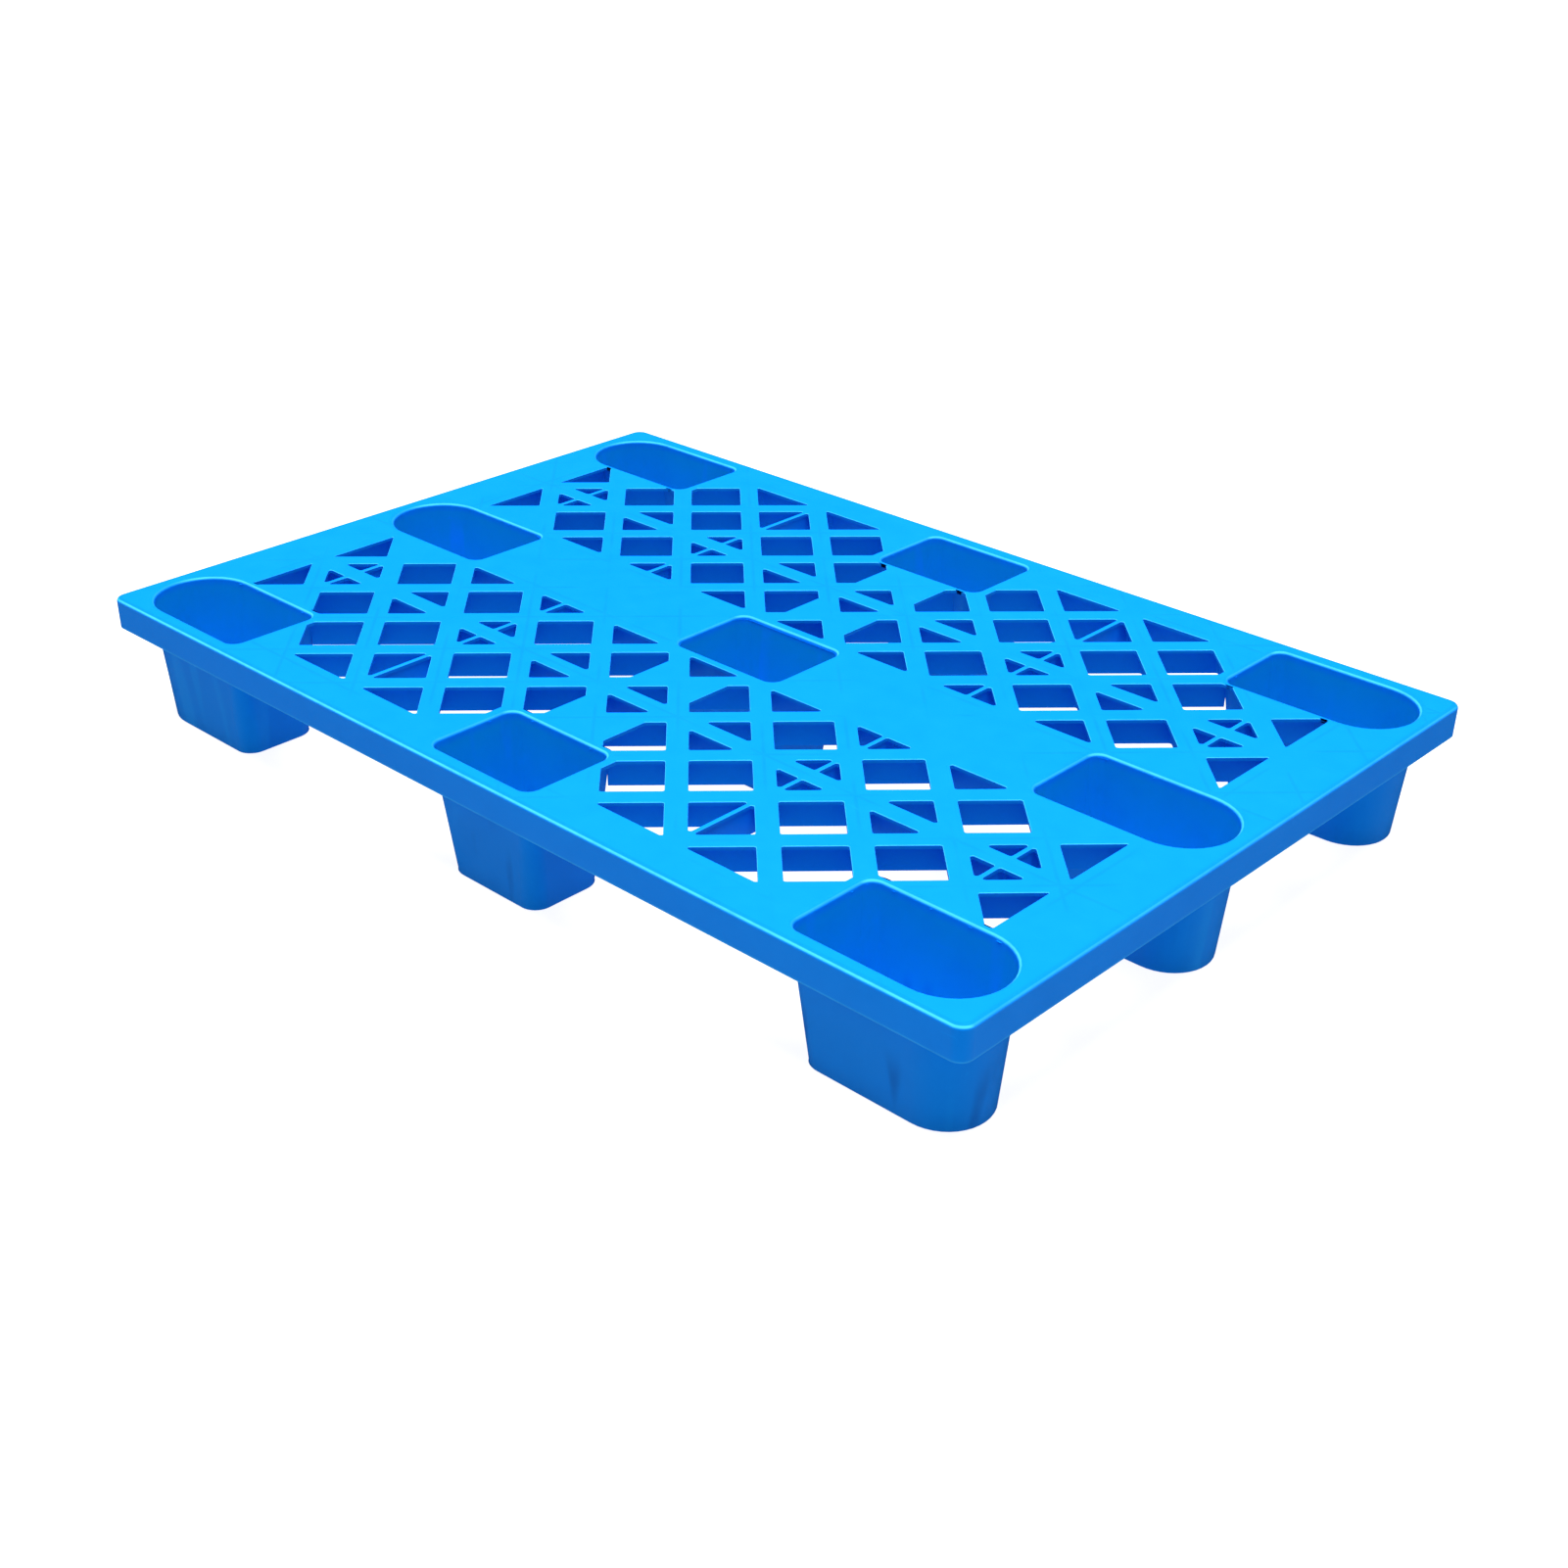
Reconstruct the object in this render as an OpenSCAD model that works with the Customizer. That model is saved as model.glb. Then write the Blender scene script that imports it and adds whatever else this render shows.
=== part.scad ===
// Nine-leg nestable plastic pallet with an open lattice deck.
// The pallet is one moulding. Each named zone of it is a solid of its own, and
// neighbouring zones meet face to face. The origin is at the middle of the
// footprint, at floor level. +X runs along the long side and +Z points up.

/* [Overall] */
// Length of the pallet along X
pallet_l = 1200; // [1000:10:1440]
// Width of the pallet along Y
pallet_w = 800; // [666:2:960]
// Height from the floor to the top of the deck
pallet_h = 140; // [115:1:170]

/* [Rim] */
// Height of the rim around the deck
rim_h = 35; // [28:1:44]
// Thickness of the rim at the level of the deck
rim_t = 6; // [5:0.5:8]
// How far the outside of the rim leans in at its lower edge
rim_lean = 0.5; // [0:0.5:3]
// Radius of the four outer corners, seen from above
rim_corner_r = 14; // [10:1:20]
// Radius of the edge between the deck and the rim
rim_edge_r = 4; // [1:0.5:4.5]

/* [Deck] */
// Thickness of the top skin
skin_t = 4; // [3:0.5:6]
// Width of the closed band along the middle of the deck
band_w = 128; // [110:2:150]
// Closed margin between the lattice and each short end
end_margin = 77; // [60:1:95]
// Closed margin between the lattice and each long side
side_margin = 50; // [40:1:60]

/* [Lattice] */
// Distance between neighbouring crossings of the lattice, along X and along Y
pitch = 58; // [50:1:70]
// Width of the sloping bars
bar_w = 22; // [18:0.5:30]
// Row of crossings that the long straight bars follow, counted from the middle
long_bar_row = 3; // [2:1:4]
// Width of the long straight bars
long_bar_w = 22; // [16:1:28]
// Width of the thin ribs that cross the holes
cross_rib_w = 5; // [3:0.5:8]
// Every how many columns of crossings a thin rib stands
cross_rib_step = 4; // [2:2:6]
// Half width of the closed pads on the centre line of the deck
pad_half_w = 43; // [41:1:50]

/* [Ribs] */
// Thickness of the ribs below the deck
rib_t = 3; // [2:0.5:4]
// Depth of the ribs below the skin
rib_h = 28; // [20:1:31]
// How far the ribs along straight hole edges stand back from those edges
edge_rib_set = 12; // [8:1:16]

/* [Leg cups] */
// Length of the mouth of the cups at the two ends
end_cup_l = 186; // [155:1:220]
// Width of the mouth of the cups at the two ends
end_cup_w = 107; // [90:1:118]
// Length of the mouth of the cups in the middle column
mid_cup_l = 144; // [120:1:172]
// Width of the mouth of the cups in the middle column
mid_cup_w = 106; // [90:1:118]
// Distance from a short end of the pallet to the mouth of an end cup
cup_end_gap = 17; // [13:0.5:22]
// Distance from a long side of the pallet to the mouth of an outer cup
cup_side_gap = 18.5; // [15:0.5:22]
// Closed land between a cup and the holes beside it, along X
cup_land_x = 11.5; // [8:0.5:16]
// Closed land between a cup and the holes beside it, along Y
cup_land_y = 6.5; // [5:0.5:10]
// Corner radius of the mouths
mouth_r = 13; // [8:1:18]
// Corner radius at the foot
foot_r = 20; // [12:1:24]
// Thickness of the cup walls
cup_wall = 3; // [3:0.5:5]
// Thickness of the soles
sole_t = 4; // [4:0.5:8]
// Lean of the cup walls, in degrees
cup_draft = 5; // [4:0.5:7]
// Bevel around the sole
foot_bevel = 3; // [1:0.5:4]

/* [Hidden] */
$fn = 48;
blend_fn = 32;
cut = 1;
slab = 0.01;
half_l = pallet_l / 2;
half_w = pallet_w / 2;
skin_z = pallet_h - skin_t;
rib_z = skin_z - rib_h;
rim_z = pallet_h - rim_h;
inner_r = rim_corner_r - rim_t;
hole_side = pitch * sqrt(2) - bar_w;
hole_reach = hole_side / sqrt(2);
lattice_x = half_l - end_margin;
lattice_y = half_w - side_margin;
long_bar_y = long_bar_row * pitch;
cross_rib_gap = cross_rib_step * pitch;
last_col = floor(lattice_x / pitch);
last_row = floor(lattice_y / pitch);
last_bar = ceil((half_l + half_w) / (2 * pitch));
last_cross_rib = floor((half_l - rim_t) / cross_rib_gap);
end_cup_x = half_l - cup_end_gap - end_cup_l / 2;
cup_row_y = half_w - cup_side_gap - end_cup_w / 2;
sides = [-1, 1];

function draft_inset(z) = (pallet_h - z) * tan(cup_draft);

// ---------- outlines, seen from above ----------

// A rectangle around the origin with round corners
module rounded_rect(length, width, r) {
    square([length - 2 * r, width], center = true);
    square([length, width - 2 * r], center = true);
    for (sx = sides, sy = sides)
        translate([sx * (length / 2 - r), sy * (width / 2 - r)])
            circle(r);
}

// The inside of the rim: everything that the deck fills
module deck_outline() {
    rounded_rect(pallet_l - 2 * rim_t, pallet_w - 2 * rim_t, inner_r);
}

// An end cup, grown by the given amount: the end at +X is a half circle
module end_cup_outline(grow, r) {
    round_r = end_cup_w / 2 + grow;
    straight_l = end_cup_l + 2 * grow - round_r;
    left_x = -end_cup_l / 2 - grow;
    translate([left_x + straight_l, 0])
        circle(round_r);
    translate([left_x + r, -round_r])
        square([straight_l - r, 2 * round_r]);
    translate([left_x, -round_r + r])
        square([straight_l, 2 * (round_r - r)]);
    for (sy = sides)
        translate([left_x + r, sy * (round_r - r)])
            circle(r);
}

// A middle cup, grown by the given amount
module mid_cup_outline(grow, r) {
    rounded_rect(mid_cup_l + 2 * grow, mid_cup_w + 2 * grow, r);
}

// Any cup: column is -1, 0 or 1 from left to right
module cup_outline(column, grow, r) {
    if (column == 0)
        mid_cup_outline(grow, r);
    else
        mirror([column < 0 ? 1 : 0, 0, 0])
            end_cup_outline(grow, r);
}

module at_cup(column, row) {
    translate([column * end_cup_x, row * cup_row_y, 0])
        children();
}

// The outside of all nine cups where they pass through the deck
module collars_outline() {
    for (column = [-1:1], row = [-1:1])
        at_cup(column, row)
            cup_outline(column, cup_wall, mouth_r + cup_wall);
}

// ---------- the pattern of holes ----------

// Whether a point lies on the closed land of the cups of the outer rows
function on_outer_land(x, y) =
    y > cup_row_y - end_cup_w / 2 - cup_land_y
    && (x > end_cup_x - end_cup_l / 2 - cup_land_x
        || x < mid_cup_l / 2 + cup_land_x);

// The row next to the centre band stops short of the end cups
function beside_end_cup(x, row) =
    row == 1 && x > end_cup_x - end_cup_l / 2 - cup_land_x;

function has_hole(column, row) =
    (column + row) % 2 == 1
    && !on_outer_land(column * pitch, row * pitch)
    && !beside_end_cup(column * pitch, row);

// The closed land of the outer cups, for one quarter of the deck
module outer_land() {
    land_y = cup_row_y - end_cup_w / 2 - cup_land_y;
    square_x = end_cup_x - end_cup_l / 2 - cup_land_x;
    translate([square_x, land_y])
        square([half_l - square_x, half_w - land_y]);
    translate([0, land_y])
        square([mid_cup_l / 2 + cup_land_x, half_w - land_y]);
}

// The holes of the quarter at +X, +Y, with the thin ribs not yet taken out
module quarter_holes() {
    difference() {
        intersection() {
            translate([-hole_side, band_w / 2])
                square([lattice_x + hole_side, lattice_y - band_w / 2]);
            for (column = [0:last_col], row = [1:last_row])
                if (has_hole(column, row))
                    one_hole(column, row);
        }
        outer_land();
        translate([-hole_side, long_bar_y - long_bar_w / 2])
            square([pallet_l, long_bar_w]);
    }
}

// One diamond hole. Those beside the centre line stop short of the pads on it
module one_hole(column, row) {
    pad_x = column == 0 ? -hole_side : pad_half_w;
    intersection() {
        translate([column * pitch, row * pitch])
            rotate(45)
                square(hole_side, center = true);
        translate([pad_x, 0])
            square([pallet_l, pallet_w]);
    }
}

module holes() {
    for (mx = [0, 1], my = [0, 1])
        mirror([mx, 0, 0])
            mirror([0, my, 0])
                quarter_holes();
}

// ---------- rib lines ----------

module cross_rib_lines() {
    for (k = [-last_cross_rib:last_cross_rib])
        if (k != 0)
            translate([k * cross_rib_gap, 0])
                square([cross_rib_w, pallet_w], center = true);
}

module sloping_rib_lines() {
    for (k = [-last_bar:last_bar], slope = [-45, 45])
        translate([2 * k * pitch, 0])
            rotate(slope)
                square([rib_t, 2 * pallet_l], center = true);
}

module long_rib_lines() {
    for (sy = sides)
        translate([0, sy * long_bar_y])
            square([pallet_l, rib_t], center = true);
}

// Ribs that follow the straight edges of the lattice: along the centre band,
// the long sides and the short ends
module edge_rib_lines() {
    for (sy = sides, y = [band_w / 2 - edge_rib_set, lattice_y + edge_rib_set])
        translate([0, sy * y])
            square([pallet_l, rib_t], center = true);
    for (sx = sides)
        translate([sx * (lattice_x + edge_rib_set), 0])
            square([rib_t, pallet_w], center = true);
}

// The narrow gaps between the cups and the rim, which have no ribs
module gaps_beside_rim() {
    reach = end_cup_l / 2 + cup_wall;
    for (mx = [0, 1])
        mirror([mx, 0, 0]) {
            translate([end_cup_x, -end_cup_w / 2 - cup_wall])
                square([half_l - end_cup_x, end_cup_w + 2 * cup_wall]);
            for (my = [0, 1])
                mirror([0, my, 0])
                    translate([end_cup_x - reach, cup_row_y])
                        square([half_l - end_cup_x + reach, half_w - cup_row_y]);
        }
    for (sy = sides)
        translate([0, sy * (cup_row_y + half_w) / 2])
            square([mid_cup_l + 2 * cup_wall, half_w - cup_row_y], center = true);
}

// ---------- zones of the deck ----------

// One quarter of the deck beside the centre band
module quarter_zone(sx, sy) {
    intersection() {
        deck_outline();
        translate([sx > 0 ? 0 : -half_l, sy > 0 ? band_w / 2 : -half_w])
            square([half_l, half_w - band_w / 2]);
    }
}

module band_zone() {
    intersection() {
        deck_outline();
        square([pallet_l, band_w], center = true);
    }
}

// The ribs of the band, out to the ribs along its edges, from the middle cup to
// an end cup
module band_rib_zone(sx) {
    zone_w = band_w - 2 * edge_rib_set + rib_t;
    translate([sx * end_cup_x / 2, 0])
        square([end_cup_x, zone_w], center = true);
}

// One quarter of everything below the deck, without the zones in the band
module quarter_rib_zone(sx, sy) {
    difference() {
        intersection() {
            deck_outline();
            translate([sx > 0 ? 0 : -half_l, sy > 0 ? 0 : -half_w])
                square([half_l, half_w]);
        }
        band_rib_zone(sx);
    }
}

// The top skin of the zone given as a child
module skin_over() {
    translate([0, 0, skin_z])
        linear_extrude(skin_t)
            difference() {
                children();
                holes();
                collars_outline();
            }
}

// The ribs below the skin of the zone given as a child. The thin ribs reach
// up to the top of the deck where they cross a hole.
module ribs_under() {
    translate([0, 0, rib_z])
        linear_extrude(rib_h)
            difference() {
                intersection() {
                    children();
                    union() {
                        sloping_rib_lines();
                        long_rib_lines();
                        cross_rib_lines();
                        edge_rib_lines();
                    }
                }
                collars_outline();
                gaps_beside_rim();
            }
    translate([0, 0, skin_z])
        linear_extrude(skin_t)
            intersection() {
                children();
                holes();
                cross_rib_lines();
            }
}

module deck_grille(sx, sy) {
    color("deepskyblue")
        skin_over()
            quarter_zone(sx, sy);
}

module deck_centre_band() {
    color("deepskyblue")
        skin_over()
            band_zone();
}

module ribs(sx, sy) {
    color("royalblue")
        ribs_under()
            quarter_rib_zone(sx, sy);
}

module ribs_band(sx) {
    color("royalblue")
        ribs_under()
            band_rib_zone(sx);
}

// ---------- rim ----------

// Section of the rim: x = 0 is the outer edge of the deck and x grows inwards
module rim_section() {
    difference() {
        polygon([
            [0, rim_h],
            [0, rim_h - rim_edge_r],
            [rim_lean, 0],
            [rim_t, 0],
            [rim_t, rim_h]
        ]);
        translate([0, rim_h - rim_edge_r])
            difference() {
                translate([-cut, 0])
                    square([rim_edge_r + cut, rim_edge_r + cut]);
                translate([rim_edge_r, 0])
                    circle(rim_edge_r);
            }
    }
}

// A straight run of rim, centred on the origin, with its outside towards -Y
module rim_run(length) {
    translate([length / 2, 0, 0])
        rotate([90, 0, -90])
            linear_extrude(length)
                mirror([1, 0, 0])
                    rim_section();
}

// A quarter turn of rim around the origin, in the quarter at +X, +Y
module rim_turn() {
    rotate_extrude(angle = 90)
        translate([rim_corner_r, 0])
            mirror([1, 0, 0])
                rim_section();
}

module rim_side(sy) {
    color("dodgerblue")
        mirror([0, sy > 0 ? 1 : 0, 0])
            translate([0, -half_w, rim_z])
                rim_run(pallet_l - 2 * rim_corner_r);
}

module rim_end(sx) {
    color("dodgerblue")
        mirror([sx > 0 ? 0 : 1, 0, 0])
            translate([0, 0, rim_z]) {
                translate([half_l, 0, 0])
                    rotate(90)
                        rim_run(pallet_w - 2 * rim_corner_r);
                for (my = [0, 1])
                    mirror([0, my, 0])
                        translate([half_l - rim_corner_r, half_w - rim_corner_r, 0])
                            rim_turn();
            }
}

// ---------- legs ----------

// A thin slice of a cup at height z: grow is measured from the cup's inside
module cup_slice(column, z, grow) {
    fall = (pallet_h - z) / pallet_h;
    r = mouth_r + (foot_r - cup_wall - mouth_r) * fall + max(grow, 0);
    translate([0, 0, z])
        linear_extrude(slab)
            cup_outline(column, grow - draft_inset(z), r, $fn = blend_fn);
}

module leg(column, row) {
    color("dodgerblue")
        at_cup(column, row)
            difference() {
                union() {
                    translate([0, 0, rim_z])
                        linear_extrude(rim_h)
                            cup_outline(column, cup_wall, mouth_r + cup_wall);
                    hull() {
                        cup_slice(column, 0, cup_wall - foot_bevel);
                        cup_slice(column, foot_bevel, cup_wall);
                        cup_slice(column, rim_z, cup_wall);
                    }
                }
                hull() {
                    cup_slice(column, sole_t, 0);
                    cup_slice(column, pallet_h, 0);
                }
            }
}

// ---------- assembly ----------

rim_side(-1);  // rim_front
rim_side(1);  // rim_back
rim_end(-1);  // rim_left
rim_end(1);  // rim_right
deck_centre_band();
deck_grille(-1, -1);  // deck_grille_front_left
deck_grille(1, -1);  // deck_grille_front_right
deck_grille(-1, 1);  // deck_grille_back_left
deck_grille(1, 1);  // deck_grille_back_right
ribs_band(-1);  // ribs_band_left
ribs_band(1);  // ribs_band_right
ribs(-1, -1);  // ribs_front_left
ribs(1, -1);  // ribs_front_right
ribs(-1, 1);  // ribs_back_left
ribs(1, 1);  // ribs_back_right
leg(-1, -1);  // leg_front_left
leg(0, -1);  // leg_front_middle
leg(1, -1);  // leg_front_right
leg(-1, 0);  // leg_centre_left
leg(0, 0);  // leg_centre_middle
leg(1, 0);  // leg_centre_right
leg(-1, 1);  // leg_back_left
leg(0, 1);  // leg_back_middle
leg(1, 1);  // leg_back_right
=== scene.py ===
import math

import bpy
from bpy.props import (
    FloatProperty,
    FloatVectorProperty,
    IntProperty,
    PointerProperty,
)
from mathutils import Matrix, Vector
from mathutils.geometry import delaunay_2d_cdt


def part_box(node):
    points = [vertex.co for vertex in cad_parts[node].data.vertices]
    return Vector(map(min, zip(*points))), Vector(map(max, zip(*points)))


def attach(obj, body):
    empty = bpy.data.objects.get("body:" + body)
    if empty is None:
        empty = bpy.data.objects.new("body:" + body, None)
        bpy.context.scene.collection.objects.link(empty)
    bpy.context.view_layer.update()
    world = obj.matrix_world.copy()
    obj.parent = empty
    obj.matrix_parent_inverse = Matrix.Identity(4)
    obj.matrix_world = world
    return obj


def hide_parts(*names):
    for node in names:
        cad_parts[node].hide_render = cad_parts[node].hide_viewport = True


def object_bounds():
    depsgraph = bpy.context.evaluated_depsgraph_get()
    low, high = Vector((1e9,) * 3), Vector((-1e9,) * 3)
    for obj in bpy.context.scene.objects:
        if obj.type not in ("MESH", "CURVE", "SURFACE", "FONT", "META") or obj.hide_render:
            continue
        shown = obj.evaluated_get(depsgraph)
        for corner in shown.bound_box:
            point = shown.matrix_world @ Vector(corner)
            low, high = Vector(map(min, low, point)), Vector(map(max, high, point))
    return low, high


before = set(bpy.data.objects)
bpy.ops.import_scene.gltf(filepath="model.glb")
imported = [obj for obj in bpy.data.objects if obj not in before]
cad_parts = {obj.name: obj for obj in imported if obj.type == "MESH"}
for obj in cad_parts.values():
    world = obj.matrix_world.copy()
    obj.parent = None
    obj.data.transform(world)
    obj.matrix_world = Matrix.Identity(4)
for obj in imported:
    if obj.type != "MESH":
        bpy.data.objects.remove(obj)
CAD_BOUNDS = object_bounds()

bl_info = {
    "name": "Nestable pallet",
    "version": (1, 0, 0),
    "blender": (4, 5, 0),
    "location": "View3D > Sidebar > Pallet",
    "description": "Builds the moulded surfaces of a nine-leg nestable pallet",
    "category": "Object",
}

# ---------------------------------------------------------------- the frame

MM = 0.001
ROOT = "root"
SIDES = (-1, 1)
COLUMNS = {-1: "left", 0: "middle", 1: "right"}
ROWS = {-1: "front", 0: "centre", 1: "back"}
QUARTERS = [(front, side) for front in ("front", "back") for side in ("left", "right")]


def corners_of(node):
    """Lowest and highest corner of a CAD node."""
    low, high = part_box(node)
    return Vector(low), Vector(high)


HALF_L, HALF_W, TOP_Z = Vector(CAD_BOUNDS[1])
SKIN_Z = corners_of("deck_centre_band")[0].z
RIB_Z = corners_of("ribs_band_left")[0].z
RIM_Z = corners_of("rim_front")[0].z
INNER_X = corners_of("deck_centre_band")[1].x
INNER_Y = corners_of("deck_grille_back_right")[1].y
BAND_Y = corners_of("deck_centre_band")[1].y
RUN_X = corners_of("rim_front")[1].x


def length(name, millimetres, description):
    """A property that holds a length."""
    return FloatProperty(
        name=name, description=description, default=millimetres * MM, unit="LENGTH")


def tint(name, value, description):
    """A property that holds a colour."""
    return FloatVectorProperty(
        name=name, description=description, default=value, size=3, min=0, max=1,
        subtype="COLOR")


class PalletSizes(bpy.types.PropertyGroup):
    """Sizes of the moulding that the frame does not give by itself."""

    pitch: length("Pitch", 58, "Distance between neighbouring crossings")
    bar_width: length("Bar width", 22, "Width of the sloping bars")
    long_bar_row: IntProperty(
        name="Long bar row", description="Row of crossings that a long bar follows",
        default=3)
    long_bar_width: length("Long bar width", 22, "Width of the long straight bars")
    cross_rib_step: IntProperty(
        name="Cross rib step", description="Columns from one thin cross rib to the next",
        default=4)
    cross_rib_width: length("Cross rib width", 5, "Width of the top of a thin cross rib")
    end_margin: length("End margin", 77, "Closed margin at the short ends")
    side_margin: length("Side margin", 50, "Closed margin along the long sides")
    pad_half_width: length("Pad half width", 43, "Half width of the pads on the centre line")
    land_x: length("Cup land X", 11.5, "Closed land beside the cups, along X")
    land_y: length("Cup land Y", 6.5, "Closed land beside the cups, along Y")
    hole_corner: length("Hole corner", 2.4, "Corner radius of the holes, seen from above")
    hole_edge: length("Hole edge", 1.1, "Radius of the edge between deck and hole")
    rib_thickness: length("Rib thickness", 3, "Thickness of the ribs at the skin")
    rib_setback: length("Rib setback", 12, "Distance of an edge rib from the hole edge")
    rib_fillet: length("Rib fillet", 1, "Radius where ribs meet the skin")
    rim_edge: length("Rim edge", 4, "Radius of the edge between deck and rim")
    rim_lean: length("Rim lean", 0.5, "How far the rim leans in at its lower edge")
    cup_wall: length("Cup wall", 3, "Thickness of the cup walls")
    cup_lip: length("Cup lip", 7, "Width of the flat lip round a cup mouth")
    cup_draft: FloatProperty(
        name="Cup draft", description="Lean of the cup walls",
        default=math.radians(5), unit="ROTATION")
    sole: length("Sole", 4, "Thickness of the soles")
    mouth_corner: length("Mouth corner", 13, "Corner radius of the cup mouths")
    foot_corner: length("Foot corner", 20, "Corner radius of the feet")
    mouth_edge: length("Mouth edge", 4, "Radius of the edge between deck and cup")
    floor_bend: length("Floor bend", 9, "Radius between wall and floor inside a cup")
    foot_edge: length("Foot edge", 3.5, "Radius between wall and sole outside a cup")


class PalletFinish(bpy.types.PropertyGroup):
    """Colour and surface of the plastic."""

    plastic: tint("Plastic", (0.001, 0.225, 0.88), "Colour of the moulded plastic")
    pale: tint("Pale", (0.004, 0.275, 0.92), "Colour of flow marks and scuffs")
    # Painted light and shade: the plastic recoloured for how light falls inside the cups.
    cup_shading_tone: tint("Lining", (0.001, 0.3, 0.74), "Colour of the plastic inside the cups")
    # Painted light: the web colour is the plastic painted lighter, standing in for the light the
    # ribs get from below.
    web: tint("Web", (0.001, 0.235, 0.95), "Colour of the plastic of the ribs")
    # The deep colour also paints shade over the whole rim, and makes the legs darker towards the
    # bottom.
    deep: tint("Deep", (0.0006, 0.15, 0.66), "Colour of weld lines and thick places")
    # Painted highlight: the edge colour paints the reflection of the light on rounded upper
    # edges.
    edge: tint("Edge", (0.05, 0.5, 0.97), "Colour of the rubbed edges")
    roughness: FloatProperty(
        name="Roughness", description="Average roughness of the plastic",
        default=0.42, min=0, max=1, subtype="FACTOR")


# ---------------------------------------------------------------- outlines


def clipped(polygon, normal, limit):
    """The part of a convex polygon on the side where normal . p <= limit."""
    kept = []
    for i, here in enumerate(polygon):
        there = polygon[(i + 1) % len(polygon)]
        a = normal[0] * here[0] + normal[1] * here[1] - limit
        b = normal[0] * there[0] + normal[1] * there[1] - limit
        if a <= 0:
            kept.append(here)
        if a * b < 0:
            t = a / (a - b)
            kept.append(tuple(p + t * (q - p) for p, q in zip(here, there)))
    return kept


def area_of(polygon):
    """Signed area of a polygon, positive when it runs anticlockwise."""
    total = 0
    for i, (x, y) in enumerate(polygon):
        nx, ny = polygon[(i + 1) % len(polygon)]
        total += x * ny - nx * y
    return total / 2


def rounded(polygon, radius, steps):
    """Points and outward normals round an anticlockwise polygon, its corners turned into arcs.
    A corner that hardly turns stays a point, and an arc takes less than half of a side."""
    smooth_turn = math.radians(14)
    side_share = 0.45
    outline = []
    points = [Vector(p) for p in polygon]
    for i, point in enumerate(points):
        before = point - points[i - 1]
        after = points[(i + 1) % len(points)] - point
        d0, d1 = before.normalized(), after.normalized()
        turn = math.atan2(d0.x * d1.y - d0.y * d1.x, d0.dot(d1))
        n0 = Vector((d0.y, -d0.x))
        if abs(turn) < smooth_turn:
            n1 = Vector((d1.y, -d1.x))
            outline.append((point, (n0 + n1).normalized()))
            continue
        bend = math.tan(abs(turn) / 2)
        reach = min(radius * bend, side_share * before.length, side_share * after.length)
        sign = 1 if turn > 0 else -1
        r = reach / bend
        centre = point - d0 * reach - n0 * r * sign
        start = math.atan2(n0.y, n0.x)
        for k in range(steps + 1):
            a = start + turn * k / steps
            n = Vector((math.cos(a), math.sin(a)))
            outline.append((centre + n * r * sign, n))
    return outline


def rectangle(x0, y0, x1, y1):
    """The corners of an upright rectangle, anticlockwise."""
    return [(x0, y0), (x1, y0), (x1, y1), (x0, y1)]


def circle_outline(x, y, radius, steps):
    """Points and outward normals round a circle."""
    outline = []
    for k in range(steps):
        a = 2 * math.pi * k / steps
        n = Vector((math.cos(a), math.sin(a)))
        outline.append((Vector((x, y)) + n * radius, n))
    return outline


class Cup:
    """One of the nine leg cups: where it is, and its outline at any size."""

    def __init__(self, column, row, sizes):
        self.column, self.row = column, row
        self.name = f"{ROWS[row]}_{COLUMNS[column]}"
        low, high = corners_of("leg_" + self.name)
        self.centre = Vector(((low.x + high.x) / 2, (low.y + high.y) / 2))
        self.half_x = (high.x - low.x) / 2 - sizes.cup_wall
        self.half_y = (high.y - low.y) / 2 - sizes.cup_wall
        self.sizes = sizes

    def inset(self, z):
        """How far the cup walls have come in at height z."""
        return (TOP_Z - z) * math.tan(self.sizes.cup_draft)

    def corner(self, z):
        """Corner radius of the inside of the cup at height z."""
        s = self.sizes
        fall = (TOP_Z - z) / TOP_Z
        return s.mouth_corner + (s.foot_corner - s.cup_wall - s.mouth_corner) * fall

    def outline(self, grow, corner, steps=10):
        """Outline around the mouth, grown by the given amount. An end cup has one round end."""
        hx, hy = self.half_x + grow, self.half_y + grow
        if self.column == 0:
            corners = [(1, 1, corner), (-1, 1, corner), (-1, -1, corner), (1, -1, corner)]
        else:
            c = self.column
            corners = [(c, 1, hy), (-c, 1, corner), (-c, -1, corner), (c, -1, hy)]
            if c < 0:
                corners = [corners[1], corners[0], corners[3], corners[2]]
        outline = []
        for quarter, (sx, sy, r) in enumerate(corners):
            centre = self.centre + Vector((sx * (hx - r), sy * (hy - r)))
            for k in range(steps + 1):
                a = math.pi / 2 * (quarter + k / steps)
                n = Vector((math.cos(a), math.sin(a)))
                outline.append((centre + n * r, n))
        return outline


def all_cups(sizes):
    """The nine cups, row by row."""
    return [Cup(column, row, sizes) for row in ROWS for column in COLUMNS]


# ---------------------------------------------------------------- the lattice


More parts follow.
